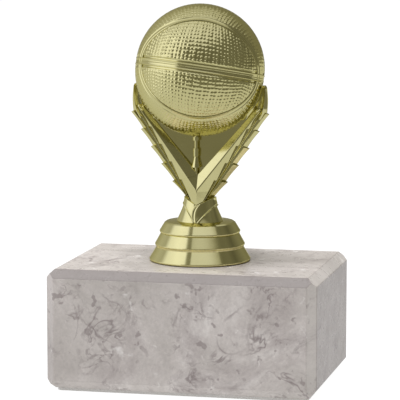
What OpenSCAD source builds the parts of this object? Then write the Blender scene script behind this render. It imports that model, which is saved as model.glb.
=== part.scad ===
// Basketball trophy: a plated plastic figure of a ball in a leafed V-shaped cradle,
// on a three-step round pedestal, bolted to a chamfered marble block.
// Z points up and the front of the trophy faces -Y. Heights in the figure are
// measured from the deck, which is the top face of the marble block.

/* [Base] */
// Width of the marble block
block_w = 100; // [90:1:120]
// Depth of the marble block
block_d = 70; // [60:1:90]
// Height of the marble block
block_h = 44; // [40:1:50]
// Chamfer along every edge of the block
block_chamfer = 3.2; // [1:0.1:5]
// Thickness of the felt pad
felt_t = 1; // [0.5:0.1:2]

/* [Fixing] */
// Thread size of the bolt
bolt_d = 6; // [5:0.5:8]
// Length of the bolt under its head
bolt_length = 40; // [36:1:41]
// Width across the flats of the bolt's head
head_flats = 10; // [8:0.5:13]
// Diameter of the pocket under the block that takes the head
pocket_d = 22; // [20:1:26]
// Depth of the pocket
pocket_depth = 14; // [12:1:16]

/* [Pedestal] */
// Widest radius of each step, from the lowest to the highest
step_r = [18.8, 16.7, 15.0];
// Radius at the top of each step
step_top_r = [16.25, 14.5, 13.2];
// Height of each step's widest line
step_lip_z = [0.8, 6.3, 11.1];
// Height of each step's top
step_top_z = [5.2, 10.4, 14.2];
// Height of the pedestal
pedestal_h = 14.9; // [14.5:0.1:15.5]
// Wall thickness of the plastic mouldings
wall = 1.4; // [1.2:0.1:1.8]

/* [Ball] */
// Radius of the ball
ball_r = 23.8; // [23:0.1:24.5]
// Height of the ball's centre above the deck
ball_z = 70.7; // [70:0.1:72]
// Length of the straight land between the two half balls
ball_land = 1.2; // [0.6:0.1:2]
// Backward pitch of the ball
ball_pitch = -7.4; // [-20:0.1:0]
// Sideways roll of the ball
ball_roll = 6.8; // [0:0.1:12]
// Radius of the raised lines beside the joint
line_r = 0.3; // [0.2:0.05:0.5]

/* [Cradle] */
// Number of side leaves on each arm
leaf_count = 5; // [5]
// Height of the lowest leaf tip
leaf_tip_z = 29.3; // [29:0.1:30]
// Half-width at the lowest leaf tip
leaf_tip_x = 10.5; // [10:0.1:11]
// Rise from one leaf tip to the next
leaf_rise = 6.375; // [6.2:0.025:6.5]
// Step outwards from one leaf tip to the next
leaf_step = 3.875; // [3.7:0.025:4]
// How far each tip stands out past the root of the leaf above it
leaf_notch = 0.9; // [0.5:0.1:1.2]
// Depth of the front band at its lowest point
band_depth = 7; // [6.5:0.1:7.5]
// Depth of the front band at the top of the arms
tip_depth = 1.4; // [1.2:0.1:2]
// Half-width of the neck where it is narrowest
neck_r = 5.9; // [5.5:0.1:6.5]
// Radius of the spigot that the pedestal holds
spigot_r = 5; // [4.5:0.1:5.4]
// Half the thickness of the web that closes the V, at its top
web_half = 0.5; // [0.4:0.1:0.8]
// Half the thickness of the web at its foot
web_foot = 3.2; // [2.4:0.1:3.3]
// How much the front band falls back from its inner edge, per millimetre of width
band_fall = 0.55; // [0.3:0.05:0.6]

/* [Post] */
// Offset of the ball post from the centre, to the left
post_x = -0.8; // [-1.5:0.1:0]
// Position of the ball post in front of the joint
post_y = -2.6; // [-3:0.1:-2]
// Radius of the post
post_r = 0.7; // [0.6:0.05:0.9]

/* [Hidden] */

gold = [0.72, 0.69, 0.44];
deck = felt_t + block_h;
eps = 0.05;
bolt_clear = 0.5;
washer_t = 1.6;
washer_r = 9;
head_h = 4;
pocket_roof = felt_t + pocket_depth;
spring_z = pocket_roof - 2 * washer_t;

boss_r = 6.6;
foot_gap = 0.3;
insert_r = 4.5;
insert_top = 8;
socket_floor = 9.7;
rib_t = 1;
dome_edge = [12.6, 14.6];
dome_top_r = 9.5;

ball_wall = 1.5;
lip_t = 0.7;
lip_h = 1.5;
seat_gap = 0.15;
line_z = 1;

vee_low = 22;
vee_front = 26.8;
vee_back = 33;
arm_top = 57;
rows_per_leaf = 8;
pin_r = 0.8;
pin_z = 46;
pin_x = 16;
web_low = 31;
web_high = 54.5;
web_lean_top = 50;
tip_bead = [21.7, -0.6, 56];
tip_bead_r = 1.3;
neck_pocket_z = 19.5;
neck_pocket = [4.2, 4.8, 6.5];

post_foot = 28.5;
post_top = 51.5;
flare_z = 35;
flare_r = 1.8;
collar_z = 39;
collar_h = 3;
collar_r = 1.15;
ring_z = 44.9;
ring_h = 1.3;
ring_r = 1.25;
ball_boss_r = 2.6;
ball_boss_z = 47.4;
ball_boss_top = 52;

function lerp(a, b, t) = a + (b - a) * t;

// A quarter round from one point to the next, as points round a centre.
function arc_points(c, r, a0, a1, n) =
    [for (i = [0:n]) let (a = lerp(a0, a1, i / n)) [c[0] + r * cos(a), c[1] + r * sin(a)]];

// The side faces and both end caps of a solid lofted through rings of n points each.
function loft_faces(rows, n) = concat(
    [for (i = [0:rows - 2], j = [0:n - 1]) let (k = (j + 1) % n) [i * n + j, (i + 1) * n + j, i * n + k]],
    [for (i = [0:rows - 2], j = [0:n - 1]) let (k = (j + 1) % n)
        [i * n + k, (i + 1) * n + j, (i + 1) * n + k]],
    [[for (j = [0:n - 1]) j]],
    [[for (j = [n - 1:-1:0]) (rows - 1) * n + j]]);

module loft(rings) {
    n = len(rings[0]);
    polyhedron(points = [for (ring = rings, p = ring) p], faces = loft_faces(len(rings), n), convexity = 6);
}

// ---- base and fixing ----

module felt_pad() {
    inset = block_chamfer + 0.3;
    corner = 2;
    color([0.78, 0.76, 0.73])
        linear_extrude(felt_t)
            difference() {
                union() {
                    square([block_w - 2 * inset, block_d - 2 * inset - 2 * corner], center = true);
                    square([block_w - 2 * inset - 2 * corner, block_d - 2 * inset], center = true);
                    for (sx = [-1, 1], sy = [-1, 1])
                        translate([sx * (block_w / 2 - inset - corner), sy * (block_d / 2 - inset - corner)])
                            circle(corner, $fn = 32);
                }
                circle(d = pocket_d + 2, $fn = 96);
            }
}

module chamfered_rectangle(w, h, c) {
    polygon([[-w / 2 + c, -h / 2], [w / 2 - c, -h / 2], [w / 2, -h / 2 + c], [w / 2, h / 2 - c],
        [w / 2 - c, h / 2], [-w / 2 + c, h / 2], [-w / 2, h / 2 - c], [-w / 2, -h / 2 + c]]);
}

module marble_block() {
    color([0.85, 0.83, 0.8])
        difference() {
            translate([0, 0, felt_t + block_h / 2])
                intersection() {
                    linear_extrude(block_h + 2, center = true)
                        chamfered_rectangle(block_w, block_d, block_chamfer);
                    rotate([90, 0, 0])
                        linear_extrude(block_d + 2, center = true)
                            chamfered_rectangle(block_w, block_h, block_chamfer);
                    rotate([90, 0, 90])
                        linear_extrude(block_w + 2, center = true)
                            chamfered_rectangle(block_d, block_h, block_chamfer);
                }
            cylinder(d = bolt_d + 2 * bolt_clear, h = deck + 1, $fn = 64);
            cylinder(d = pocket_d, h = pocket_roof, $fn = 96);
        }
}

module hex_bolt() {
    chamfer = 0.6;
    top = spring_z + bolt_length;
    color("silver") {
        translate([0, 0, spring_z - head_h])
            cylinder(d = head_flats / cos(30), h = head_h, $fn = 6);
        translate([0, 0, spring_z - eps])
            cylinder(d = bolt_d, h = bolt_length - chamfer + eps, $fn = 64);
        translate([0, 0, top - chamfer])
            cylinder(d1 = bolt_d, d2 = bolt_d - 2 * chamfer, h = chamfer, $fn = 64);
    }
}

module spring_washer() {
    slit = 1.2;
    outer_r = 5.1;
    color("silver")
        translate([0, 0, spring_z])
            difference() {
                cylinder(r = outer_r, h = washer_t, $fn = 64);
                translate([0, 0, -1])
                    cylinder(d = bolt_d + 0.2, h = washer_t + 2, $fn = 64);
                rotate([0, 0, 30])
                    translate([0, -slit / 2, -1])
                        cube([outer_r + 1, slit, washer_t + 2]);
            }
}

module flat_washer() {
    color("silver")
        translate([0, 0, pocket_roof - washer_t])
            difference() {
                cylinder(r = washer_r, h = washer_t, $fn = 96);
                translate([0, 0, -1])
                    cylinder(d = bolt_d + 0.4, h = washer_t + 2, $fn = 64);
            }
}

module thread_insert() {
    groove = 0.3;
    length = insert_top - foot_gap - 0.4;
    color("goldenrod")
        translate([0, 0, deck + foot_gap + 0.2])
            difference() {
                cylinder(r = insert_r - eps, h = length, $fn = 64);
                translate([0, 0, -1])
                    cylinder(d = bolt_d + 0.1, h = length + 2, $fn = 64);
                for (z = [2, 4.6])
                    translate([0, 0, z])
                        difference() {
                            cylinder(r = insert_r + 1, h = 0.8, $fn = 64);
                            cylinder(r = insert_r - eps - groove, h = 0.8, $fn = 64);
                        }
            }
}

// ---- pedestal ----

// One step: a rounded lip under a straight sloping side.
function step_outline(i) =
    let (lip = 0.7, z0 = i == 0 ? 0 : step_top_z[i - 1])
    concat(
        [[i == 0 ? step_r[i] - lip : step_top_r[i - 1], z0]],
        arc_points([step_r[i] - lip, step_lip_z[i]], lip, i == 0 ? -60 : -50, 15, 6),
        [[step_top_r[i], step_top_z[i]]]);

// The hollow under the shell, from the boss out to the wall.
module pedestal_hollow(grow) {
    rotate_extrude($fn = 120)
        polygon([[boss_r - grow, -1], [step_r[0] - wall - 0.5 + grow, -1],
            [step_top_r[0] - wall + grow, step_top_z[0]], [step_top_r[1] - wall + grow, step_top_z[1]],
            [step_top_r[2] - wall - 0.6 + grow, pedestal_h - wall - 0.5],
            [boss_r - grow, pedestal_h - wall - 0.5]]);
}

module pedestal() {
    color(gold)
        translate([0, 0, deck])
            difference() {
                union() {
                    difference() {
                        rotate_extrude($fn = 120)
                            polygon(concat([[0, 0]], step_outline(0), step_outline(1), step_outline(2),
                                [dome_edge, [dome_top_r, pedestal_h], [0, pedestal_h]]));
                        pedestal_hollow(0);
                    }
                    intersection() {
                        for (a = [0:60:300])
                            rotate([0, 0, a])
                                translate([boss_r - 0.5, -rib_t / 2, foot_gap])
                                    cube([14, rib_t, 13.5]);
                        pedestal_hollow(0.3);
                    }
                }
                translate([0, 0, -1])
                    cylinder(r = boss_r + 0.2, h = 1 + foot_gap, $fn = 96);
                translate([0, 0, -1])
                    cylinder(r = insert_r, h = insert_top + 1, $fn = 64);
                translate([0, 0, socket_floor])
                    cylinder(r = spigot_r + 0.1, h = 10, $fn = 64);
            }
}

// ---- cradle ----

// Place of each leaf's tip; the row of tips bows out slightly.
function tip_z(k) = leaf_tip_z + leaf_rise * k;
function tip_x(k) = leaf_tip_x + leaf_step * k + 0.1 * k * (leaf_count - 1 - k);

// Depth of the front band's inner edge.
function band_y(z) = tip_depth + (band_depth - tip_depth) * pow((arm_top - z) / (arm_top - vee_low), 1.6);

// Half-widths, at a height, of the lines that run up each arm.
function wall_x(z) = max(0, 0.827 * (z - vee_back));
function band_in_x(z) = max(0, 0.738 * (z - vee_front));
function band_out_x(z) = 4.58 + 0.607 * (z - vee_front);
function rib_x(z) = band_out_x(z) + 0.6 + 0.013 * (z - vee_front);

// Depth of the bevel's back edge, or of the bevel on the centre line below the back edge.
function bevel_back_y(z) =
    z < vee_front ? band_y(z) - eps :
    z < vee_back ? lerp(band_y(vee_front), 3.6, (z - vee_front) / (vee_back - vee_front)) :
    0.5 + 3.1 * pow((arm_top - z) / (arm_top - vee_back), 1.3);

// A point whose height follows the slanted foot of the arm.
function on_arm(x, y, z, slant) = [x, -y, z + slant * x];

// The section of the arm across leaf k, at t = 0 on its root and t = 1 on its tip.
function arm_ring(k, t) = let (
    root_z = k == 0 ? vee_low : tip_z(k - 1) + 0.15,
    root_x = k == 0 ? neck_r : tip_x(k - 1) - leaf_notch,
    slant = k == 0 ? 0.476 * (1 - t) : 0,
    z = lerp(root_z, tip_z(k), t),
    lift = slant * band_out_x(z) * 1.3,
    out_x = lerp(root_x, tip_x(k), t) - 0.25 * sin(180 * t),
    ridge_x = lerp(rib_x(z + lift) + 0.6, out_x - 0.3, pow(t, 1.4)),
    depth = band_y(z + lift / 2),
    edge = max(0.55 * depth, depth - band_fall * (band_out_x(z + lift) - band_in_x(z))),
    groove = min(1, edge / 2))
    [on_arm(wall_x(z) - eps, 0, z, slant),
        on_arm(wall_x(z) - eps, bevel_back_y(z), z, slant),
        on_arm(band_in_x(z) + eps, band_y(z), z, slant),
        on_arm(band_out_x(z + lift), edge, z, slant),
        on_arm(band_out_x(z + lift) + 0.25, edge - groove, z, slant),
        on_arm(rib_x(z + lift), 0.97 * edge, z, slant),
        on_arm(rib_x(z + lift) + 0.35, 0.97 * edge - groove, z, slant),
        on_arm(ridge_x, max(0.97 * edge - 0.2, 1.2) + 0.5 * t, z, slant),
        on_arm(out_x, 0.4, z, slant),
        on_arm(out_x, 0, z, slant)];

// One front half of an arm, with all its side leaves.
module arm() {
    loft([for (k = [0:leaf_count - 1], i = [0:rows_per_leaf]) arm_ring(k, i / rows_per_leaf)]);
}

// The leaf at the top of the arm, which lies along the ball.
function ball_x(z) = sqrt(pow(ball_r, 2) - pow(ball_z - z, 2));
function top_leaf_out_x(z) =
    z < 55 ? 25.2 - 0.6 * (55 - z) :
    z < 64 ? 25.2 + 0.3 * sin(20 * (z - 55)) :
    24.1 + 1.1 * cos(60 * (z - 64));
function top_leaf_ring(z) = let (
    in_x = max(17, ball_x(z) - 0.8),
    out_x = top_leaf_out_x(z),
    span = out_x - in_x)
    [[in_x, 0, z], [in_x, -1.5, z], [in_x + 0.3 * span, -2, z], [in_x + 0.55 * span, -1.2, z],
        [in_x + 0.8 * span, -1.9, z], [out_x, -0.9, z], [out_x, 0, z]];

module top_leaf() {
    loft([for (z = [53, 54, 55, 56, 57, 58, 60, 62, 64, 64.5, 65, 65.5]) top_leaf_ring(z)]);
    translate(tip_bead)
        sphere(tip_bead_r, $fn = 20);
}

// The oval neck, from its skirt up to the arms.
function neck_ring(z, grow) = let (
    t = (z - pedestal_h) / (vee_low - pedestal_h),
    rx = neck_r + 2.8 * pow(max(0, 1 - t), 1.4) + grow,
    ry = neck_r + 0.2 + 2.1 * pow(max(0, 1 - t), 1.4) + grow)
    [for (a = [5:10:355]) [rx * cos(a), ry * sin(a), z]];

module neck(grow) {
    loft([for (z = [pedestal_h, 15.5, 16.5, 18, 19.5, 21, 22.5, 24, 25.5]) neck_ring(z, grow)]);
}

// The wrapped bands: the part of the neck between the arms and the lines that cross below.
module neck_bands() {
    intersection() {
        neck(0.45);
        rotate([90, 0, 0])
            linear_extrude(30, center = true)
                polygon([[0, 14.4], [9, 23.3], [6, 25.3], [0, 22.2], [-6, 25.3], [-9, 23.3]]);
    }
}

module ball_shape(r) {
    translate([0, 0, ball_z])
        rotate([ball_pitch, ball_roll, 0])
            for (s = [-1, 1])
                translate([0, 0, s * ball_land / 2])
                    sphere(r, $fn = 96);
}

// The web that closes the V behind the post; it leans back towards its top.
module web() {
    intersection() {
        rotate([90, 0, 0])
            linear_extrude(web_foot)
                polygon([[0, web_low], [19, web_high], [-19, web_high]]);
        rotate([90, 0, 90])
            linear_extrude(40, center = true)
                polygon([[0, web_low], [-web_foot, web_low], [-web_half, web_lean_top], [-web_half, web_high],
                    [0, web_high]]);
    }
}

// Both halves of the cradle share this shape, in front of the joint at y = 0.
module cradle_half() {
    difference() {
        union() {
            for (s = [0, 1])
                mirror([s, 0, 0]) {
                    arm();
                    top_leaf();
                }
            web();
            intersection() {
                union() {
                    neck(0);
                    neck_bands();
                    translate([0, 0, socket_floor + 0.2])
                        rotate([0, 0, 3.75])
                            cylinder(r = spigot_r, h = 6, $fn = 48);
                }
                translate([-20, -20, 0])
                    cube([40, 20, 40]);
            }
        }
        ball_shape(ball_r + seat_gap);
        translate([0, 0, neck_pocket_z])
            scale(neck_pocket)
                sphere(1, $fn = 32);
    }
}

// Each shell is one mesh: the resize to its own size joins all its surfaces.
module cradle_front_shell() {
    color(gold)
        translate([0, 0, deck])
            resize([0, 0, 0])
                union() {
                    difference() {
                        cradle_half();
                        post_shape(eps);
                    }
                    for (s = [-1, 1])
                        translate([s * pin_x, -0.5, pin_z])
                            rotate([-90, 0, 0])
                                cylinder(r = pin_r, h = 1.5, $fn = 24);
                }
}

module cradle_rear_shell() {
    color(gold)
        translate([0, 0, deck])
            resize([0, 0, 0])
                difference() {
                    mirror([0, 1, 0])
                        cradle_half();
                    for (s = [-1, 1])
                        translate([s * pin_x, -0.5, pin_z])
                            rotate([-90, 0, 0])
                                cylinder(r = pin_r + eps, h = 1.7, $fn = 24);
                }
}

// ---- ball ----

// A plain pin with a flared foot, a collar above it and a thin ring under the ball.
module post_shape(grow) {
    translate([post_x, post_y, 0]) {
        translate([0, 0, post_foot - grow])
            cylinder(r = post_r + grow, h = post_top - post_foot + grow, $fn = 32);
        translate([0, 0, flare_z - grow])
            cylinder(r1 = flare_r + grow, r2 = post_r + 0.1 + grow, h = collar_z - flare_z + grow, $fn = 32);
        translate([0, 0, collar_z - grow])
            cylinder(r = collar_r + grow, h = collar_h + 2 * grow, $fn = 32);
        translate([0, 0, ring_z - grow])
            cylinder(r = ring_r + grow, h = ring_h + 2 * grow, $fn = 32);
    }
}

module ball_post() {
    color(gold)
        translate([0, 0, deck])
            post_shape(0);
}

// A half ball below the joint plane, with its straight land.
module half_ball(r, land) {
    intersection() {
        translate([0, 0, -land])
            sphere(r, $fn = 120);
        translate([0, 0, -land - r - 1])
            cylinder(r = r + 1, h = r + 1, $fn = 120);
    }
    translate([0, 0, -land])
        cylinder(r = r, h = land, $fn = 120);
}

module half_shell() {
    difference() {
        union() {
            half_ball(ball_r, ball_land / 2);
            translate([0, 0, -line_z])
                rotate_extrude($fn = 120)
                    translate([ball_r - line_r / 2, 0])
                        circle(line_r, $fn = 24);
        }
        half_ball(ball_r - ball_wall, ball_land / 2);
        cylinder(r = ball_r - ball_wall, h = 1, $fn = 120);
    }
}

module in_ball_frame() {
    translate([0, 0, deck + ball_z])
        rotate([ball_pitch, ball_roll, 0])
            children();
}

module ball_lower_shell() {
    color(gold)
        difference() {
            union() {
                in_ball_frame() {
                    half_shell();
                    translate([0, 0, -2])
                        difference() {
                            cylinder(r = ball_r - ball_wall + lip_t, h = 2 + lip_h, $fn = 120);
                            translate([0, 0, -1])
                                cylinder(r = ball_r - ball_wall - 0.1, h = 5 + lip_h, $fn = 120);
                        }
                }
                translate([post_x, post_y, deck + ball_boss_z])
                    cylinder(r = ball_boss_r, h = ball_boss_top - ball_boss_z, $fn = 32);
            }
            translate([post_x, post_y, deck + ball_boss_z - 5])
                cylinder(r = post_r + eps, h = post_top + 0.3 - ball_boss_z + 5, $fn = 32);
        }
}

module ball_upper_shell() {
    color(gold)
        in_ball_frame()
            difference() {
                mirror([0, 0, 1])
                    half_shell();
                translate([0, 0, -1])
                    cylinder(r = ball_r - ball_wall + lip_t + eps, h = 1 + lip_h + 0.1, $fn = 120);
            }
}

felt_pad();
marble_block();
hex_bolt();
spring_washer();
flat_washer();
thread_insert();
pedestal();
cradle_front_shell();
cradle_rear_shell();
ball_post();
ball_lower_shell();
ball_upper_shell();
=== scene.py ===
"""Basketball trophy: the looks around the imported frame.

Everything is in metres in the row frame: +Z up, the front faces -Y. Sizes that belong to the
design are given in millimetres and multiplied by MM. "deck" is the marble block's top face.
"""

import math

import bpy
import numpy as np
from mathutils import Matrix, Vector


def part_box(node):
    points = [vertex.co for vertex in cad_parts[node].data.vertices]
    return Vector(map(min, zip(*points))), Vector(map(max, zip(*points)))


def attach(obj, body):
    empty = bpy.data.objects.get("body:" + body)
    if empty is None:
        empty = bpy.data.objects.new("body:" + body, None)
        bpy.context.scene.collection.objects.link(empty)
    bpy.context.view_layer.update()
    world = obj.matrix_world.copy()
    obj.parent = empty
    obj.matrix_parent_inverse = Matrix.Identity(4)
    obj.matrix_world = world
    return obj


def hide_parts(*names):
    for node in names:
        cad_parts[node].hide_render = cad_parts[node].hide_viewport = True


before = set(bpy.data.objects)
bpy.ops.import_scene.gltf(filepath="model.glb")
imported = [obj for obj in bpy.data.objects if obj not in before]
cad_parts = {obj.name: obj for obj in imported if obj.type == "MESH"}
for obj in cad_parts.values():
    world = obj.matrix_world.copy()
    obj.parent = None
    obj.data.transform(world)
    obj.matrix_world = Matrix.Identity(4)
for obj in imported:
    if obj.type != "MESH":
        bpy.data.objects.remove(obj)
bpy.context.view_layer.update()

MM = 0.001

# ---- places taken from the frame ----

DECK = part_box("marble_block")[1][2]
BALL_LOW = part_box("ball_lower_shell")
BALL_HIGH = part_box("ball_upper_shell")
BALL_Z = (BALL_LOW[0][2] + BALL_HIGH[1][2]) / 2
BALL_R = 23.8 * MM


# ---- mesh helpers ----

TINY = 1e-9
FLAT_FACE_WEIGHT = 80
CORNER_SHARE = 0.42
CORNER_STEPS = 3


def mesh_object(name, verts, faces, material, smooth_angle=None):
    """A mesh object with one material. Faces past smooth_angle (degrees) meet in a sharp edge."""
    mesh = bpy.data.meshes.new(name)
    mesh.from_pydata([tuple(v) for v in verts], [], [tuple(f) for f in faces])
    mesh.validate()
    mesh.polygons.foreach_set("use_smooth", [True] * len(mesh.polygons))
    if smooth_angle is not None:
        mesh.set_sharp_from_angle(angle=math.radians(smooth_angle))
    mesh.materials.append(material)
    mesh.update()
    piece = bpy.data.objects.new(name, mesh)
    bpy.context.scene.collection.objects.link(piece)
    return piece


def weighted_normals(piece):
    """Keeps the broad faces flat and lets the narrow rounded edges take the bend."""
    modifier = piece.modifiers.new("normals", "WEIGHTED_NORMAL")
    modifier.keep_sharp = True
    modifier.weight = FLAT_FACE_WEIGHT


def outwards(verts, faces):
    """The faces of a closed shell, turned round if they look inwards."""
    points = np.array([tuple(v) for v in verts])
    fans = np.array([(f[0], f[i], f[i + 1]) for f in faces for i in range(1, len(f) - 1)])
    a, b, c = points[fans[:, 0]], points[fans[:, 1]], points[fans[:, 2]]
    volume = np.einsum("ij,ij->", a - points[0], np.cross(b - points[0], c - points[0]))
    return faces if volume > 0 else [tuple(reversed(f)) for f in faces]


class Builder:
    """Collects several closed shells into one mesh."""

    def __init__(self):
        self.verts = []
        self.faces = []

    def add(self, verts, faces):
        base = len(self.verts)
        self.verts.extend(tuple(v) for v in verts)
        self.faces.extend(tuple(i + base for i in f) for f in outwards(verts, faces))

    def add_loft(self, rings, looped=False):
        """Closed rings of equal length, one after another. Both ends are capped, unless looped."""
        count = len(rings)
        n = len(rings[0])
        faces = []
        for i in range(count if looped else count - 1):
            a, b = i * n, ((i + 1) % count) * n
            for j in range(n):
                k = (j + 1) % n
                faces.append((a + j, b + j, b + k, a + k))
        if not looped:
            faces.append(tuple(range(n)))
            faces.append(tuple(reversed(range((count - 1) * n, count * n))))
        self.add([p for ring in rings for p in ring], faces)

    def mirror_sideways(self):
        """Adds the mirror image of everything so far, on the other side of x = 0."""
        self.add([(-x, y, z) for x, y, z in self.verts], list(self.faces))

    def turn_to_back(self):
        """Mirrors everything so far from the front half to the rear half."""
        self.verts = [(x, -y, z) for x, y, z in self.verts]
        self.faces = [tuple(reversed(f)) for f in self.faces]

    def piece(self, name, material, smooth_angle=None):
        return mesh_object(name, self.verts, self.faces, material, smooth_angle)


def lerp(a, b, t):
    return a + (b - a) * t


def smoothstep(a, b, x):
    t = np.clip((x - a) / (b - a), 0.0, 1.0)
    return t * t * (3 - 2 * t)


def rounded(points, radii):
    """The closed outline with each corner replaced by a short curve.

    A curve reaches radii millimetres along each side, but takes no more than CORNER_SHARE of it.
    """
    n = len(points)
    out = []
    for i in range(n):
        p, prev, nxt = points[i], points[i - 1], points[(i + 1) % n]
        to_prev, to_next = prev - p, nxt - p
        reach_prev = min(radii[i], CORNER_SHARE * np.linalg.norm(to_prev))
        reach_next = min(radii[i], CORNER_SHARE * np.linalg.norm(to_next))
        a = p + to_prev / max(np.linalg.norm(to_prev), TINY) * reach_prev
        b = p + to_next / max(np.linalg.norm(to_next), TINY) * reach_next
        for s in range(CORNER_STEPS + 1):
            t = s / CORNER_STEPS
            out.append((1 - t) ** 2 * a + 2 * t * (1 - t) * p + t * t * b)
    return out


# ---- materials ----

class Nodes:
    """A short way to write the shader tree of a material or a world."""

    def __init__(self, owner, shader="Principled BSDF", place="Object"):
        owner.use_nodes = True
        self.owner = owner
        self.tree = owner.node_tree
        self.shader = self.tree.nodes[shader]
        self.place = self.add("ShaderNodeTexCoord").outputs[place]

    def add(self, kind, **values):
        node = self.tree.nodes.new(kind)
        for key, value in values.items():
            setattr(node, key, value)
        return node

    def link(self, out, socket):
        self.tree.links.new(out, socket)

    def set(self, **values):
        for key, value in values.items():
            self.shader.inputs[key.replace("_", " ")].default_value = value

    def noise(self, scale, detail=3.0, rough=0.5, distortion=0.0):
        node = self.add("ShaderNodeTexNoise")
        node.inputs["Scale"].default_value = scale
        node.inputs["Detail"].default_value = detail
        node.inputs["Roughness"].default_value = rough
        node.inputs["Distortion"].default_value = distortion
        self.link(self.place, node.inputs["Vector"])
        return node.outputs["Fac"]

    def ramp(self, fac, stops):
        node = self.add("ShaderNodeValToRGB")
        node.color_ramp.elements[0].position = stops[0][0]
        node.color_ramp.elements[0].color = (*stops[0][1], 1)
        node.color_ramp.elements[1].position = stops[-1][0]
        node.color_ramp.elements[1].color = (*stops[-1][1], 1)
        for position, color in stops[1:-1]:
            node.color_ramp.elements.new(position).color = (*color, 1)
        self.link(fac, node.inputs["Fac"])
        return node.outputs["Color"]

    def remap(self, fac, low, high, to_low, to_high):
        node = self.add("ShaderNodeMapRange")
        ends = {"From Min": low, "From Max": high, "To Min": to_low, "To Max": to_high}
        for key, value in ends.items():
            node.inputs[key].default_value = value
        self.link(fac, node.inputs["Value"])
        return node.outputs["Result"]

    def math(self, operation, a, b=0.0):
        node = self.add("ShaderNodeMath", operation=operation)
        for value, socket in ((a, node.inputs[0]), (b, node.inputs[1])):
            if isinstance(value, (int, float)):
                socket.default_value = value
            else:
                self.link(value, socket)
        return node.outputs["Value"]

    def mix(self, fac, a, b, blend="MIX"):
        node = self.add("ShaderNodeMix", data_type="RGBA", blend_type=blend)
        sockets = [s for s in node.inputs if s.enabled]
        for value, socket in zip((fac, a, b), sockets):
            if isinstance(value, (int, float)):
                socket.default_value = value
            elif isinstance(value, tuple):
                socket.default_value = (*value, 1)
            else:
                self.link(value, socket)
        return [s for s in node.outputs if s.enabled][0]

    def bump(self, height, strength, distance):
        node = self.add("ShaderNodeBump")
        node.inputs["Strength"].default_value = strength
        node.inputs["Distance"].default_value = distance
        self.link(height, node.inputs["Height"])
        self.link(node.outputs["Normal"], self.shader.inputs["Normal"])


def material_nodes(name):
    return Nodes(bpy.data.materials.new(name))


def plated_gold():
    """Vacuum-metallised plastic: a light olive gold with a faint orange peel and handling haze."""
    n = material_nodes("plated_gold")
    n.set(Metallic=1.0, Coat_Weight=0.05, Coat_Roughness=0.1, Specular_Tint=(0.75, 0.72, 0.5, 1))
    tone = n.ramp(n.noise(60, 4, 0.6), [(0.3, (0.69, 0.647, 0.31)), (0.7, (0.755, 0.712, 0.36))])
    n.link(tone, n.shader.inputs["Base Color"])
    haze = n.noise(220, 5, 0.65)
    n.link(n.remap(haze, 0.3, 0.75, 0.08, 0.15), n.shader.inputs["Roughness"])
    n.bump(n.noise(900, 3, 0.6), 0.25, 0.02 * MM)
    return n.owner


STONE_CLOUDS = [(0.3, (0.40, 0.365, 0.34)), (0.44, (0.50, 0.46, 0.43)),
                (0.55, (0.575, 0.53, 0.50)), (0.7, (0.74, 0.70, 0.665))]
MAUVE_PATCH = (0.325, 0.28, 0.27)
DARK_VEIN = (0.235, 0.195, 0.19)
VEIN_LAYERS = ((31, 0.02, 0.9), (60, 0.03, 0.85), (110, 0.045, 0.6))  # scale, width, strength
PALE_BLOTCH = (0.84, 0.81, 0.78)
DARK_SPECK = (0.28, 0.24, 0.23)
# painted shade for the chamfers round the top
PAINTED_SHADE_CHAMFER = (0.2, 0.18, 0.17)
# painted shade for the side that faces +X
PAINTED_SHADE_SIDE = (0.34, 0.29, 0.285)
# painted light for the upright chamfers that face towards +X
PAINTED_LIGHT_CORNER = (0.78, 0.74, 0.71)


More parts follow.
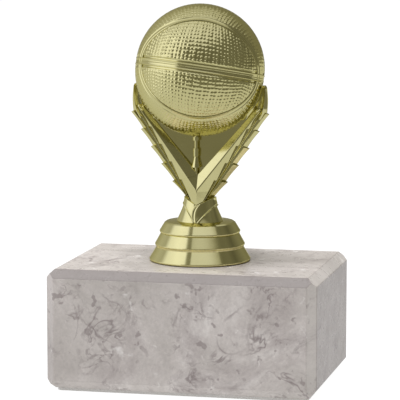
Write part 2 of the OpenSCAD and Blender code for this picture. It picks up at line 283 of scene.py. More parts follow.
def marble():
    """Warm grey stone: clouds, mauve patches, broken veins, pale blotches, dark specks and grain.

    The top chamfers get painted shade, except towards +X; there the side gets a little painted
    shade and the upright chamfers beside it painted light, each picked by the way the face points.
    """
    n = material_nodes("grey_marble")
    n.set(Specular_IOR_Level=0.45, Coat_Weight=0.1, Coat_Roughness=0.2)
    color = n.ramp(n.noise(26, 7, 0.66, 0.9), STONE_CLOUDS)
    patches = n.remap(n.noise(24, 7, 0.7, 0.6), 0.5, 0.62, 0, 0.55)
    color = n.mix(patches, color, MAUVE_PATCH)
    for scale, width, strength in VEIN_LAYERS:
        off_centre = n.math("ABSOLUTE", n.math("SUBTRACT", n.noise(scale, 4, 0.6, 1.1), 0.5))
        line = n.remap(off_centre, 0.0, width, 1, 0)
        broken = n.remap(n.noise(scale * 0.9, 3, 0.6), 0.52, 0.64, 0, strength)
        color = n.mix(n.math("MULTIPLY", line, broken), color, DARK_VEIN)
    blotches = n.remap(n.noise(150, 3, 0.6, 0.5), 0.64, 0.72, 0, 0.7)
    color = n.mix(blotches, color, PALE_BLOTCH)
    specks = n.math("MULTIPLY", n.remap(n.noise(330, 2, 0.4), 0.35, 0.3, 0, 0.75),
                    n.remap(n.noise(40, 2), 0.42, 0.56, 0.15, 1))
    color = n.mix(specks, color, DARK_SPECK)
    grain = n.ramp(n.noise(1100, 3, 0.7), [(0.3, (0.86, 0.86, 0.86)), (0.7, (1.0, 1.0, 1.0))])
    color = n.mix(1.0, color, grain, "MULTIPLY")
    facing = n.add("ShaderNodeSeparateXYZ")
    n.link(n.add("ShaderNodeNewGeometry").outputs["Normal"], facing.inputs["Vector"])
    sideways, upward = facing.outputs["X"], facing.outputs["Z"]
    # painted shade: chamfers that face upwards, picked by the normal, are mixed towards a dark tone
    chamfer = n.math("MULTIPLY", n.remap(upward, 0.3, 0.5, 0, 1), n.remap(upward, 0.97, 0.9, 0, 1))
    chamfer = n.math("MULTIPLY", chamfer, n.remap(sideways, 0.2, 0.5, 0.9, 0.1))
    color = n.mix(chamfer, color, PAINTED_SHADE_CHAMFER)
    # painted shade: faces towards +X, picked by the normal, are mixed a little darker
    color = n.mix(n.remap(sideways, 0.85, 0.96, 0, 0.4), color, PAINTED_SHADE_SIDE)
    # painted light: upright chamfers towards +X, picked by the normal, are mixed paler
    corner = n.math("MULTIPLY", n.remap(sideways, 0.5, 0.65, 0, 0.35),
                    n.remap(sideways, 0.85, 0.78, 0, 1))
    color = n.mix(corner, color, PAINTED_LIGHT_CORNER)
    n.link(color, n.shader.inputs["Base Color"])
    n.link(n.remap(n.noise(300, 4), 0.3, 0.7, 0.24, 0.38), n.shader.inputs["Roughness"])
    n.bump(n.noise(700, 4, 0.6), 0.2, 0.03 * MM)
    return n.owner


def felt():
    n = material_nodes("grey_felt")
    n.set(Roughness=0.95, Sheen_Weight=0.6, Sheen_Roughness=0.5, Specular_IOR_Level=0.1)
    fibres = n.noise(2500, 6, 0.75, 0.8)
    n.link(n.ramp(fibres, [(0.3, (0.52, 0.50, 0.48)), (0.7, (0.74, 0.72, 0.69))]),
           n.shader.inputs["Base Color"])
    n.bump(fibres, 0.7, 0.2 * MM)
    return n.owner


def zinc_steel():
    n = material_nodes("zinc_steel")
    n.set(Metallic=1.0)
    n.link(n.ramp(n.noise(400, 5, 0.7), [(0.3, (0.50, 0.51, 0.53)), (0.7, (0.66, 0.67, 0.69))]),
           n.shader.inputs["Base Color"])
    n.link(n.remap(n.noise(900, 4), 0.3, 0.7, 0.22, 0.4), n.shader.inputs["Roughness"])
    n.bump(n.noise(1500, 4), 0.2, 0.02 * MM)
    return n.owner


def brass():
    n = material_nodes("turned_brass")
    n.set(Metallic=1.0, Anisotropic=0.4)
    n.link(n.ramp(n.noise(500, 4), [(0.3, (0.62, 0.43, 0.16)), (0.7, (0.78, 0.58, 0.27))]),
           n.shader.inputs["Base Color"])
    n.link(n.remap(n.noise(900, 4), 0.3, 0.7, 0.2, 0.36), n.shader.inputs["Roughness"])
    n.bump(n.noise(1500, 2), 0.15, 0.02 * MM)
    return n.owner


GOLD = plated_gold()
MARBLE = marble()
FELT = felt()
STEEL = zinc_steel()
BRASS = brass()


# ---- ball ----

# The ball's own frame: z is the axis of the joint band, -y the middle of the front oval seam. Each
# half of the skin starts BALL_LAND away from the joint, and the smooth band covers that gap.
BALL_PITCH = math.radians(-7.4)
BALL_ROLL = math.radians(6.8)
BALL_SPIN = math.radians(10.5)
BALL_LAND = 0.6 * MM
SKIN_SINK = 0.12 * MM
BALL_FRAME = (Matrix.Translation((0, 0, BALL_Z)) @ Matrix.Rotation(BALL_ROLL, 4, "Y")
              @ Matrix.Rotation(BALL_PITCH, 4, "X") @ Matrix.Rotation(BALL_SPIN, 4, "Z"))

# The pebbles: a grid on the six faces of a cube, blown up to the sphere. Their height falls to
# PEBBLES_LEFT of it between the two angles of PEBBLES_FADE, measured from an oval's middle.
PEBBLES_PER_QUARTER = 26
QUADS_PER_PEBBLE = 6
PEBBLE_HEIGHT = 0.3 * MM
PEBBLE_STRAY = 0.09
PEBBLE_SIZE = 0.88
PEBBLE_VARIES = 0.12
PEBBLE_RADIUS = 0.62 * MM
PEBBLES_FADE = (math.radians(48), math.radians(76))
PEBBLES_LEFT = 0.35
PEBBLE_PITCH = BALL_R * math.pi / 2 / PEBBLES_PER_QUARTER

# The seams: two ovals, with half-sizes as angles seen from the ball's centre, and the circle
# between them. The circle is sunk by OUTLINE_SINK to stay inside the CAD model's ball.
OVAL_WIDE = math.radians(66)
OVAL_HIGH = math.radians(47.6)
OVAL_POWER = 1.8
OVAL_TILT = math.radians(-1.5)
SEAM_HALF = 1.25 * MM
SEAM_SINK = 0.35 * MM
SEAM_CLEAR = 0.5 * MM
RIDGE_AT = 0.88 * MM
OUTLINE_SINK = 0.14 * MM
LAND_BLEND = 12
CURVE_STEPS = 480
# Distance across (metres) and height (mm) of one side of a seam: channel, ridge and buried edge.
SEAM_PROFILE = [(0.3 * MM, -0.12), (RIDGE_AT - 0.26 * MM, -0.06), (RIDGE_AT - 0.12 * MM, 0.08),
                (RIDGE_AT, 0.13), (RIDGE_AT + 0.12 * MM, 0.08), (RIDGE_AT + 0.26 * MM, -0.06),
                (SEAM_HALF, -0.12), (SEAM_HALF, -0.9)]
# Distance from the joint and height, both in mm, of the smooth band on one half of the ball.
BAND_PROFILE = [(0.02, -0.9), (0.02, -0.05), (0.06, -0.01), (0.3, 0.0), (0.75, 0.0), (0.86, 0.05),
                (0.94, 0.15), (1.04, 0.2), (1.14, 0.15), (1.22, 0.05), (1.4, -0.1), (1.4, -0.9)]
# The skin's channel is this much wider at the joint band than at a seam.
BAND_INSET = 0.35 * MM


def oval_distance(d):
    """Distance along the surface from directions d to the nearer oval seam; negative inside it."""
    angle = np.arccos(np.clip(np.abs(d[:, 1]), -1, 1))
    around = np.arctan2(d[:, 2], -np.sign(d[:, 1]) * d[:, 0]) - OVAL_TILT
    wide, high = np.abs(angle * np.cos(around)) + TINY, np.abs(angle * np.sin(around)) + TINY
    total = (wide / OVAL_WIDE) ** OVAL_POWER + (high / OVAL_HIGH) ** OVAL_POWER
    reach = total ** (1 / OVAL_POWER)
    slope = np.hypot(wide ** (OVAL_POWER - 1) / OVAL_WIDE ** OVAL_POWER,
                     high ** (OVAL_POWER - 1) / OVAL_HIGH ** OVAL_POWER) * reach ** (1 - OVAL_POWER)
    return (reach - 1) / slope * BALL_R


def seam_distance(d):
    """Distance to the nearest seam: two ovals, the joint band and the circle between the ovals."""
    band = np.abs(np.arcsin(np.clip(d[:, 2], -1, 1))) * BALL_R
    circle = np.abs(np.arcsin(np.clip(d[:, 1], -1, 1))) * BALL_R
    return np.minimum(np.minimum(band - BAND_INSET, circle), np.abs(oval_distance(d)))


def pebbled_surface(s, t, d):
    """Height above the ball's radius for grid coordinates s and t (0 to 1 across a cube face)."""
    # cell differs from pebble to pebble, so that no two have quite the same size and place
    cell = np.floor(s * PEBBLES_PER_QUARTER) * 12.9898 + np.floor(t * PEBBLES_PER_QUARTER) * 78.233
    du = (s * PEBBLES_PER_QUARTER) % 1 - 0.5 + PEBBLE_STRAY * np.sin(cell * 1.7)
    dv = (t * PEBBLES_PER_QUARTER) % 1 - 0.5 + PEBBLE_STRAY * np.sin(cell * 2.3)
    size = PEBBLE_SIZE + PEBBLE_VARIES * np.sin(cell * 3.7)
    away = np.hypot(du, dv) * PEBBLE_PITCH / (PEBBLE_RADIUS * size)
    cap = PEBBLE_HEIGHT * size * np.clip(1 - away ** 2, 0, 1)
    gap = seam_distance(d)
    facing = np.arccos(np.clip(np.abs(d[:, 1]), 0, 1))
    cap = cap * smoothstep(SEAM_HALF, SEAM_HALF + SEAM_CLEAR, gap)
    cap = cap * lerp(1, PEBBLES_LEFT, smoothstep(*PEBBLES_FADE, facing))
    sink = -SEAM_SINK * (1 - smoothstep(0.8 * SEAM_HALF, SEAM_HALF, gap))
    return cap + sink - SKIN_SINK


def placed(points):
    """Points of the ball's own frame, in the row frame."""
    turned = np.array(BALL_FRAME)
    return np.asarray(points) @ turned[:3, :3].T + turned[:3, 3]


def ball_half(name, top):
    """One half of the pebbled skin: a whole cube face and the near halves of the four sides."""
    n = PEBBLES_PER_QUARTER * QUADS_PER_PEBBLE
    sign = 1 if top else -1
    frames = [((0, -1, 0), (1, 0, 0), (0, 0, 1)), ((0, 1, 0), (-1, 0, 0), (0, 0, 1)),
              ((1, 0, 0), (0, 1, 0), (0, 0, 1)), ((-1, 0, 0), (0, -1, 0), (0, 0, 1)),
              ((0, 0, sign), (1, 0, 0), (0, sign, 0))]
    points, faces, rim, base = [], [], [], 0
    for index, (c, u, v) in enumerate(frames):
        first, last = (0, n) if index == 4 else (n // 2, n) if top else (0, n // 2)
        rows = np.arange(first, last + 1)
        s, t = np.meshgrid(np.arange(n + 1) / n, rows / n)
        a, b = np.tan((s.ravel() * 2 - 1) * math.pi / 4), np.tan((t.ravel() * 2 - 1) * math.pi / 4)
        d = np.outer(np.ones_like(a), c) + np.outer(a, u) + np.outer(b, v)
        d /= np.linalg.norm(d, axis=1)[:, None]
        p = d * (BALL_R + pebbled_surface(s.ravel(), t.ravel(), d))[:, None]
        p[:, 2] += sign * BALL_LAND
        points.append(p)
        w = n + 1
        for j in range(len(rows) - 1):
            for i in range(n):
                k = base + j * w + i
                faces.append((k, k + 1, k + w + 1, k + w))
        if index < 4:
            edge = base + (0 if top else (len(rows) - 1) * w)
            rim.extend((edge + i, edge + i + 1) for i in range(n))
        base += len(p)
    points = np.concatenate((*points, [(0, 0, sign * BALL_LAND)]))
    faces.extend((b, a, base) if top else (a, b, base) for a, b in rim)
    mesh = mesh_object(name, placed(points), faces, GOLD)
    weld = mesh.modifiers.new("weld", "WELD")
    weld.merge_threshold = 0.01 * MM
    return mesh


def seam_rings(directions, sideways, lift=0.0):
    """Sections of the strip along a curve on the ball: two fine ridges, a channel between them."""
    profile = [(-across, height) for across, height in reversed(SEAM_PROFILE)] + SEAM_PROFILE
    rings = []
    for d, side in zip(directions, sideways):
        land = BALL_LAND * np.clip(d[2] * LAND_BLEND, -1, 1)
        ring = []
        for across, height in profile:
            direction = d * math.cos(across / BALL_R) + side * math.sin(across / BALL_R)
            p = direction * (BALL_R + height * MM + lift)
            ring.append(p + np.array([0, 0, land]))
        rings.append(ring)
    return rings


def closed_curve(points):
    """Unit directions and sideways normals along a closed curve on the ball."""
    d = points / np.linalg.norm(points, axis=1)[:, None]
    tangent = np.roll(d, -1, axis=0) - np.roll(d, 1, axis=0)
    side = np.cross(d, tangent)
    return d, side / np.linalg.norm(side, axis=1)[:, None]


def make_ball():
    lower = ball_half("ball_lower_skin", False)
    upper = ball_half("ball_upper_skin", True)
    turn = np.linspace(0, 2 * math.pi, CURVE_STEPS, endpoint=False)
    seams = Builder()
    for facing in (-1, 1):
        c, s = np.cos(turn), np.sin(turn)
        wide = OVAL_WIDE * np.sign(c) * np.abs(c) ** (2 / OVAL_POWER)
        high = OVAL_HIGH * np.sign(s) * np.abs(s) ** (2 / OVAL_POWER)
        angle, around = np.hypot(wide, high), np.arctan2(high, wide) + OVAL_TILT
        points = np.stack([np.sin(angle) * np.cos(around) * -facing, facing * np.cos(angle),
                           np.sin(angle) * np.sin(around)], 1)
        seams.add_loft(seam_rings(*closed_curve(points)), looped=True)
    points = np.stack([np.cos(turn), np.zeros_like(turn), np.sin(turn)], 1)
    seams.add_loft(seam_rings(*closed_curve(points), lift=-OUTLINE_SINK), looped=True)
    seams.verts = placed(seams.verts)
    seams = seams.piece("ball_seams", GOLD)
    bands = []
    for name, sign in (("ball_lower_band", -1), ("ball_upper_band", 1)):
        rings = [[((BALL_R + h * MM) * math.cos(a), (BALL_R + h * MM) * math.sin(a), sign * w * MM)
                  for w, h in BAND_PROFILE] for a in turn]
        builder = Builder()
        builder.add_loft(rings, looped=True)
        builder.verts = placed(builder.verts)
        bands.append(builder.piece(name, GOLD))
    for piece in (lower, upper, seams, *bands):
        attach(piece, "root")
    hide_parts("ball_lower_shell")
    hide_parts("ball_upper_shell")


make_ball()


# ---- cradle ----

# Sizes in this section are in millimetres: x from the middle plane, depth (y) forwards from the
# joint, z up from the deck. The right arm of one half is built, and the rest is its mirror image.

# heights of the arms, and of the V between them
VEE_LOW = 22.0
VEE_FRONT = 26.6
VEE_BACK = 32.3
ARM_TOP = 57.0

# the ball, as the arms meet it
BALL_UP = 70.7
SEAT_GAP = 0.08

# the leaves, stacked along the outside of an arm
LEAVES = 5
ROWS_PER_LEAF = 20
ROW_SLOPE = 0.28
ROW_TRIES = 6
FIRST_TIP_Z = 29.3
LEAF_RISE = 6.375
FIRST_TIP_X = 10.5
LEAF_REACH = 3.875
ARM_BOW = 0.1
STEP_UP = 0.12
STEP_IN = 0.9
LEAF_HOLLOW = 0.25
LOBE = (0.25, 1.25)
LOBE_CURVE = 0.9
FOOT_CREST = 0.5
CREST = (1.25, 2.2)
CREST_LIFT = 0.55
LIFT_CURVE = 1.5
TROUGH_DEPTH = 0.3

# the root of the lowest leaf, on the neck
ROOT_X = 5.4
ROOT_Z = 23.8
FOOT_SLOPE = -0.476
FOOT_LEAN = 0.08
FOOT_BLEND = 1.25

# the band along the V, its bevels and the rib beside it
BAND_TOP_Y = 1.4
BAND_MORE_Y = 6.2
BAND_CURVE = 1.6
BAND_SPREAD = 0.77
BAND_FALL = 0.55
BEVEL_SLOPE = 0.3
RIB_START = 5.06
RIB_SPREAD = 0.62
RIB_HEIGHT = 0.97

# the web that closes the V
WALL_SPREAD = 0.87
WEB_Y = 0.35
WEB_LEAN = 0.03
WEB_LEAN_FROM = 50
WEB_BULGE = 0.5
WEB_HALF = 16
WEB_OVERLAP = 0.6
WEB_POINTS = 9
WEB_ROWS = 16
WEB_BELOW = 1.5
WEB_TOP = 54
WEB_CLEAR = 0.2


def tip_z(k):
    return FIRST_TIP_Z + LEAF_RISE * k


def tip_x(k):
    return FIRST_TIP_X + LEAF_REACH * k + ARM_BOW * k * (LEAVES - 1 - k)


def band_y(z):
    """Depth of the front band; below the V it leans back towards the neck."""
    rise = max(0.0, ARM_TOP - max(z, VEE_FRONT)) / (ARM_TOP - VEE_LOW)
    return BAND_TOP_Y + BAND_MORE_Y * rise ** BAND_CURVE - FOOT_LEAN * max(0.0, VEE_FRONT - z)


def wall_x(z):
    return max(0.0, WALL_SPREAD * (z - VEE_BACK))


def band_in_x(z):
    return max(0.0, BAND_SPREAD * (z - VEE_FRONT))


def rib_x(z):
    return RIB_START + RIB_SPREAD * (z - VEE_FRONT)


def web_y(z):
    """Depth of the web that closes the V: it leans back a little."""
    return WEB_Y + WEB_LEAN * max(0.0, WEB_LEAN_FROM - z)


def web_ring(z):
    """Half of the web's section, with a front face that bulges a little."""
    end = wall_x(z) + WEB_OVERLAP
    face = [(x, web_y(z) + WEB_BULGE * (1 - (x / WEB_HALF) ** 2))
            for x in np.linspace(end, 0, WEB_POINTS)]
    return [np.array([x, -depth, z]) for x, depth in ((0, 0), (end, 0), *face)]


def bevel_back_y(z):
    """Depth of the inner bevel's back edge, or of the bevel on the centre line below the V."""
    if z < VEE_FRONT:
        return band_y(z) - 0.05
    return max(web_y(z) + WEB_CLEAR, band_y(z) - BEVEL_SLOPE * (band_in_x(z) - wall_x(z)))


def arm_ring(k, t):
    """The section across leaf k of the right arm, from its root (t = 0) to its tip (t = 1).

    A corner is (x, depth, z, radius); they run from the joint plane inside the V round the front
    of the arm to the joint plane outside it.
    """
    root_z = ROOT_Z if k == 0 else tip_z(k - 1) + STEP_UP
    root_x = ROOT_X if k == 0 else tip_x(k - 1) - STEP_IN
    z_out = lerp(root_z, tip_z(k), t)
    x_out = lerp(root_x, tip_x(k), t) - LEAF_HOLLOW * math.sin(math.pi * t)
    slope = lerp(FOOT_SLOPE, ROW_SLOPE, min(1.0, t * FOOT_BLEND)) if k == 0 else ROW_SLOPE

    def at(x_of):
        """x and height on the skewed row for a line given as x at a height."""
        z = z_out
        for _ in range(ROW_TRIES):
            z = z_out + slope * (x_out - x_of(z))
        return x_of(z), z

    lobe = lerp(*LOBE, t ** LOBE_CURVE)
    crest = lerp(CREST[0] if k else FOOT_CREST, CREST[1], t)
    lift = CREST_LIFT * t ** LIFT_CURVE
    corners = []
    # the wall of the V and the bevel in front of it
    x, z = at(lambda z: wall_x(z) - 0.05)
    corners += [(x, 0, z, 0), (x, bevel_back_y(z), z, 0.2)]
    x, z = at(lambda z: band_in_x(z) + 0.05)
    corners += [(x, band_y(z), z, 0.4)]
    # the band, as far as the lobe's edge, and the step down from it
    x, z = at(lambda z: max(rib_x(z) - lobe, band_in_x(z) + 0.35))
    front = max(0.55 * band_y(z), band_y(z) - BAND_FALL * (x - band_in_x(z)))
    rib = RIB_HEIGHT * front
    trough = TROUGH_DEPTH * band_y(z)
    low = lerp(front - 0.2, 1.4 * trough, t ** 0.4)
    corners += [(x, front, z, 0.1), (x + 0.12, low, z, 0.08)]
    # the fine rib
    x, z = at(lambda z: rib_x(z) - 0.14)
    corners += [(x - 0.1, low, z, 0.05), (x + 0.06, rib, z, 0.08), (x + 0.22, rib, z, 0.08),
                (x + 0.34, lerp(rib, trough, 0.7), z, 0.05)]
    # the leaf's trough, its crest and the face that falls away to the outline
    x, z = at(lambda z: min(rib_x(z) + 0.2 * crest + 0.15, x_out - 0.9))
    corners += [(x, trough, z, 0.1)]
    x, z = at(lambda z: min(rib_x(z) + crest - 0.2, x_out - 0.7))
    corners += [(x, trough, z, 0.1)]
    x, z = at(lambda z: min(rib_x(z) + crest, x_out - 0.45))
    corners += [(x, max(0.8 * rib - 0.2, 1.1) + 0.6 * lift, z, 0.16)]
    corners += [(x_out, 0.4 + 0.3 * t, z_out, 0.12), (x_out - 0.05, 0, z_out, 0)]
    return rounded([np.array([x, -y, z]) for x, y, z, r in corners], [c[3] for c in corners])


ARM_END_ROWS = 8
ARM_END_OUT = 0.8
ARM_END_UP = 1.2
ARM_END_FROM = 5


def arm_end():
    """Rows that round off the top of the arm, beyond the tip of its last leaf."""
    last = np.array(arm_ring(LEAVES - 1, 1.0))
    share = np.clip((last[:, 0].max() - last[:, 0]) / ARM_END_FROM, 0, 1)
    rows = []
    for turn in np.linspace(0, math.pi / 2, ARM_END_ROWS + 1)[1:]:
        row = last.copy()
        row[:, 0] += ARM_END_OUT * math.sin(turn) * share
        row[:, 1] *= max(0.02, math.cos(turn))
        row[:, 2] += ARM_END_UP * math.sin(turn) * share
        rows.append(row)
    return rows


def ball_edge(z, depth):
    """Half-width of the ball's outline at a height and depth, with the seat's gap."""
    return math.sqrt(max(0.0, (BALL_R / MM + SEAT_GAP) ** 2 - (BALL_UP - z) ** 2 - depth ** 2))


# the top leaf: it rises from inside the arm, and its channel opens and its rims deepen as it does
LEAF_FROM = 52.6
LEAF_TO = 64.2
LEAF_END_FROM = 64.3
LEAF_TOP = 65.4
LEAF_END = 1.1
LEAF_OUT_X = 25.2
LEAF_BEND_Z = 55
LEAF_DEPTH = (2.1, 1.75)
LEAF_DEEPENS_Z = (53, 58)
LEAF_CHANNEL = (0.1, 1.35)
LEAF_OPENS_Z = (52.5, 54.5)
LEAF_ROWS = 30
LEAF_END_ROWS = 10


def top_leaf_ring(z):
    """The section of the leaf along the ball: an inner rim, a channel and an outer rim."""
    end = min(1.0, (LEAF_TOP - z) / LEAF_END)
    round_end = math.sqrt(max(0.0, 1 - (1 - end) ** 2))
    bow = 0.3 * math.sin(math.radians(20 * max(0.0, z - LEAF_BEND_Z)))
    out = LEAF_OUT_X - 0.55 * max(0.0, LEAF_BEND_Z - z) + bow
    middle = (out + ball_edge(z, 1)) / 2
    out = lerp(middle, out, 0.35 + 0.65 * round_end)
    taper = lerp(0.45, 1, smoothstep(*LEAF_DEEPENS_Z, np.float64(z)))
    deep = lerp(*LEAF_DEPTH, (z - 53) / 12.4) * (0.5 + 0.5 * round_end) * taper
    inner = ball_edge(z, deep - 0.3)
    inner = lerp(min(middle, inner), inner, round_end)
    opening = smoothstep(0, 0.9, np.float64(end)) * smoothstep(*LEAF_OPENS_Z, np.float64(z))
    channel = lerp(*LEAF_CHANNEL, opening)
    span = out - inner
    corners = [(ball_edge(z, 0), 0, 0), (inner, deep - 0.35, 0.1),
               (inner + 0.16 * span, deep - 0.25, 0.12),
               (inner + 0.34 * span, deep - 0.3 - channel, 0.3),
               (inner + 0.62 * span, deep - channel, 0.3),
               (inner + 0.78 * span, deep, 0.16), (out, 0.55, 0.14), (out - 0.05, 0, 0)]
    return rounded([np.array([x, -y, z]) for x, y, r in corners], [c[2] for c in corners])


def top_leaf():
    """Every section of the top leaf, closer together where its end is rounded."""
    along = np.linspace(LEAF_FROM, LEAF_TO, LEAF_ROWS)
    over = LEAF_END_FROM + LEAF_END * np.sin(np.linspace(0, math.pi / 2, LEAF_END_ROWS))
    return [top_leaf_ring(z) for z in (*along, *over)]


TIP_CENTRE = np.array([22.2, -1.7, 56.5])
TIP_LEAN = 0.6
TIP_HALF_LENGTH = 1.2
TIP_RADIUS = 0.75
TIP_RINGS = 12
TIP_POINTS = 20


def chevron_tip():
    """The rounded end of the front band, where it dies into the top leaf."""
    rings = []
    turn = np.linspace(0, 2 * math.pi, TIP_POINTS, endpoint=False)
    for i in range(1, TIP_RINGS):
        a = math.pi * i / TIP_RINGS
        radius, rise = TIP_RADIUS * math.sin(a), TIP_HALF_LENGTH * math.cos(a)
        rings.append([TIP_CENTRE + np.array([radius * math.cos(b) + TIP_LEAN * rise,
                                             radius * math.sin(b), rise]) for b in turn])
    return rings


PEDESTAL_UP = 14.9
NECK_TOP = 25.0
NECK_WAIST = 23.5
NECK_RADII = (5.5, 4.95)
FLARE = (3.2, 3.25)
FLARE_CURVE = 1.4
NECK_POINTS = 380
NECK_ROWS = 120
CROSSING_UP = 17.9
BANDS_HEIGHT = 0.35
OVER_HEIGHT = 0.25
OVER_CROWN = 0.12


def step_up(distance):
    return smoothstep(-0.09, 0.09, distance)


def edge_rim(distance):
    """A fine raised rim just inside a band's edge, with a groove beside it."""
    rim = 0.16 * np.exp(-((distance - 0.28) / 0.17) ** 2)
    return rim - 0.14 * np.exp(-((distance - 0.75) / 0.2) ** 2)


def neck_surface():
    """The oval neck, its flared foot and the two bands that cross on it, right over left.

    The neck shrinks where the lowest leaves cover it.
    """
    a = np.linspace(0, 2 * math.pi, NECK_POINTS, endpoint=False)
    z = np.linspace(PEDESTAL_UP - 0.3, NECK_TOP, NECK_ROWS)
    a, z = np.meshgrid(a, z)
    t = np.clip((z - PEDESTAL_UP) / (NECK_WAIST - PEDESTAL_UP), 0, 1)
    rx, ry = (r + flare * (1 - t) ** FLARE_CURVE for r, flare in zip(NECK_RADII, FLARE))
    x = rx * np.cos(a)
    covered = smoothstep(-0.05, 0.1, z - ROOT_Z - FOOT_SLOPE * (ROOT_X - np.abs(x)))
    # x of the bands' outer edges, and of the upper band's inner edge, as curves of the height
    rise = z - PEDESTAL_UP
    right = 1.27 + 0.65 * rise + 0.038 * rise ** 2
    left = -(0.8 + 0.64 * rise + 0.024 * rise ** 2)
    middle = -1.38 + np.where(z > CROSSING_UP, 0.119, 0.06) * (z - CROSSING_UP) ** 2
    inside = step_up(x - left) * step_up(right - x) * smoothstep(-0.25, 0.05, rise)
    over = step_up(x - middle)
    crown = OVER_CROWN * np.clip(1 - np.abs(x - middle - 1.6) / 2.6, 0, 1)
    rim = edge_rim(x - left) + edge_rim(right - x) + over * edge_rim(x - middle)
    raised = inside * (BANDS_HEIGHT + over * (OVER_HEIGHT + crown) + rim) * (1 - covered)
    rx, ry = rx - covered + raised, ry - covered + raised
    return np.stack([rx * np.cos(a), ry * np.sin(a), z], -1)


def on_deck(verts):
    """Points of the cradle, in metres in the row frame."""
    return [(x * MM, y * MM, z * MM + DECK) for x, y, z in verts]


def make_cradle():
    halves = (("cradle_front", False, "cradle_front_shell"),
              ("cradle_rear", True, "cradle_rear_shell"))
    for name, rear, replaced in halves:
        builder = Builder()
        rows = [arm_ring(k, i / ROWS_PER_LEAF)
                for k in range(LEAVES) for i in range(ROWS_PER_LEAF + 1)]
        builder.add_loft(rows + arm_end())
        builder.add_loft(top_leaf())
        builder.add_loft(chevron_tip())
        heights = np.linspace(VEE_BACK - WEB_BELOW, WEB_TOP, WEB_ROWS)
        builder.add_loft([web_ring(z) for z in heights])
        builder.mirror_sideways()
        if rear:
            builder.turn_to_back()
        builder.verts = on_deck(builder.verts)
        piece = builder.piece(name, GOLD, 32)
        weighted_normals(piece)
        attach(piece, "root")
        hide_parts(replaced)
    neck = Builder()
    neck.add_loft(neck_surface())
    neck.verts = on_deck(neck.verts)
    piece = neck.piece("cradle_neck", GOLD, 60)
    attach(piece, "root")


make_cradle()


# ---- carried-over nodes ----

def dress(node, material):
    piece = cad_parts[node]
    piece.data.materials.clear()
    piece.data.materials.append(material)
    return piece


for node_name in ("pedestal", "ball_post"):
    dress(node_name, GOLD)
block = dress("marble_block", MARBLE)
block.modifiers.new("weld", "WELD").merge_threshold = 0.01 * MM
soften = block.modifiers.new("soft_edges", "BEVEL")
soften.width = 0.35 * MM
soften.segments = 3
soften.limit_method = "ANGLE"
soften.angle_limit = math.radians(25)
dress("felt_pad", FELT)
for node_name in ("hex_bolt", "spring_washer", "flat_washer"):
    dress(node_name, STEEL)
dress("thread_insert", BRASS)


# ---- stage ----

CAMERA_AZIMUTH = math.radians(13)
CAMERA_ELEVATION = math.radians(7.6)
CAMERA_DISTANCE = 0.9
CAMERA_TARGET = Vector((0, 0, 0.0674))
CAMERA_LENS = 218.6


def direction(azimuth, elevation):
    """Unit vector: azimuth from the front (-Y) towards +X, both in radians."""
    level = math.cos(elevation)
    return Vector((math.sin(azimuth) * level, -math.cos(azimuth) * level, math.sin(elevation)))


def make_camera():
    camera = bpy.data.objects.new("camera", bpy.data.cameras.new("camera"))
    bpy.context.scene.collection.objects.link(camera)
    camera.data.sensor_width = 36
    camera.data.lens = CAMERA_LENS
    camera.data.clip_start = 0.01
    camera.data.clip_end = 50
    offset = direction(CAMERA_AZIMUTH, CAMERA_ELEVATION) * CAMERA_DISTANCE
    camera.location = CAMERA_TARGET + offset
    camera.rotation_euler = (-offset).to_track_quat("-Z", "Y").to_euler()
    bpy.context.scene.camera = camera


# name, glow, albedo and height of the two floors
FLOORS = (("floor", 0.96, 0.1, 0.0), ("reflected_floor", 0.67, 0.02, -0.0002))
FLOOR_HALF = 8


def make_floor():
    """The white floor that the camera sees, and just under it the one that reflections see."""
    for name, glow, albedo, height in FLOORS:
        n = material_nodes(name)
        n.set(Roughness=0.9, Specular_IOR_Level=0.1, Emission_Strength=glow,
              Emission_Color=(1, 1, 1, 1))
        tone = n.ramp(n.noise(3, 2), [(0.3, (0.99 * albedo,) * 3), (0.7, (albedo,) * 3)])
        n.link(tone, n.shader.inputs["Base Color"])
        corners = [(x * FLOOR_HALF, y * FLOOR_HALF, height)
                   for x, y in ((-1, -1), (1, -1), (1, 1), (-1, 1))]
        floor = mesh_object(name, corners, [(0, 1, 2, 3)], n.owner)
        if name == "floor":
            floor.visible_glossy = False
        else:
            floor.visible_camera = floor.visible_diffuse = floor.visible_shadow = False


CARD_AZIMUTHS = range(-30, 121, 10)
CARD_RADII = (0.27, 8.0)
CARD_UP = 0.001


def make_dark_card():
    """A dark card on the floor, in front and to the right, for the gold's reflections only."""
    n = material_nodes("dark_card")
    n.set(Roughness=1.0, Specular_IOR_Level=0.0, Emission_Strength=0.2,
          Emission_Color=(1, 0.96, 0.74, 1))
    n.link(n.ramp(n.noise(2, 1), [(0.3, (0.01, 0.01, 0.01)), (0.7, (0.02, 0.02, 0.02))]),
           n.shader.inputs["Base Color"])
    verts = [direction(math.radians(a), 0) * r + Vector((0, 0, CARD_UP))
             for r in CARD_RADII for a in CARD_AZIMUTHS]
    count = len(CARD_AZIMUTHS)
    faces = [(i, i + 1, i + 1 + count, i + count) for i in range(count - 1)]
    card = mesh_object("dark_card", verts, faces, n.owner)
    card.visible_camera = card.visible_diffuse = card.visible_shadow = False


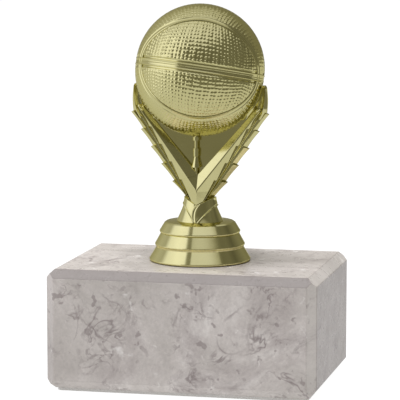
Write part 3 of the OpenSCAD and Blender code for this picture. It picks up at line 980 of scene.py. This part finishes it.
# The studio by azimuth in degrees, from the front (0) towards +X; both ends are the back. WALLS
# is the brightness of the walls, CEILING that of the ceiling, and CEILING_FROM the sine of the
# elevation at which it starts.
WALLS = [(-180, 0.27), (-150, 0.45), (-118, 0.56), (-98, 0.48), (-86, 1.0), (-60, 1.15), (-34, 1.1),
         (-28, 0.3), (-18, 0.22), (0, 0.16), (45, 0.15), (76, 0.2), (82, 0.17), (100, 0.18),
         (118, 0.12), (124, 0.16), (150, 0.27), (180, 0.27)]
CEILING_FROM = [(-180, 0.6), (-98, 0.66), (-34, 0.76), (-30, 0.8), (-18, 0.8), (-14, 0.68),
                (74, 0.68), (82, 0.8), (122, 0.8), (134, 0.66), (180, 0.6)]
CEILING_BLEND = 0.1
CEILING = [(-180, 0.58), (-120, 0.68), (-80, 0.86), (-40, 0.86), (0, 0.8), (60, 0.78), (120, 0.62),
           (180, 0.58)]
STUDIO_TINT = [(0.15, (1.0, 0.96, 0.74)), (0.75, (1.0, 1.0, 1.1))]


def make_world():
    world = bpy.data.worlds.new("studio")
    bpy.context.scene.world = world
    n = Nodes(world, "Background", "Generated")
    split = n.add("ShaderNodeSeparateXYZ")
    n.link(n.place, split.inputs["Vector"])
    azimuth = n.math("ARCTAN2", split.outputs["X"], n.math("MULTIPLY", split.outputs["Y"], -1))
    turn = n.remap(azimuth, -math.pi, math.pi, 0, 1)

    def around(table, top):
        """A value from a table of (azimuth, value), where top is at least its highest value."""
        stops = [((a + 180) / 360, (v / top,) * 3) for a, v in table]
        return n.math("MULTIPLY", n.ramp(turn, stops), top)

    above = n.math("SUBTRACT", split.outputs["Z"], around(CEILING_FROM, 1))
    rise = n.remap(above, 0, CEILING_BLEND, 0, 1)
    walls = n.math("MULTIPLY", around(WALLS, 2), n.math("SUBTRACT", 1, rise))
    strength = n.math("ADD", walls, n.math("MULTIPLY", rise, around(CEILING, 1)))
    n.link(strength, n.shader.inputs["Strength"])
    n.link(n.ramp(strength, STUDIO_TINT), n.shader.inputs["Color"])


SOFTBOX_AZIMUTH = math.radians(-35)
SOFTBOX_ELEVATION = math.radians(82)
SOFTBOX_DISTANCE = 1.2
SOFTBOX_SIZE = 0.8
SOFTBOX_POWER = 20


def make_softbox():
    """The light from above; the gold reflects the studio instead of it."""
    light = bpy.data.objects.new("top_softbox", bpy.data.lights.new("top_softbox", "AREA"))
    bpy.context.scene.collection.objects.link(light)
    light.data.shape = "DISK"
    light.data.size = SOFTBOX_SIZE
    light.data.energy = SOFTBOX_POWER
    offset = direction(SOFTBOX_AZIMUTH, SOFTBOX_ELEVATION) * SOFTBOX_DISTANCE
    light.location = CAMERA_TARGET + offset
    light.rotation_euler = (-offset).to_track_quat("-Z", "Y").to_euler()
    light.visible_glossy = False


make_camera()
make_floor()
make_dark_card()
make_world()
make_softbox()
bpy.context.scene.view_settings.view_transform = "Standard"
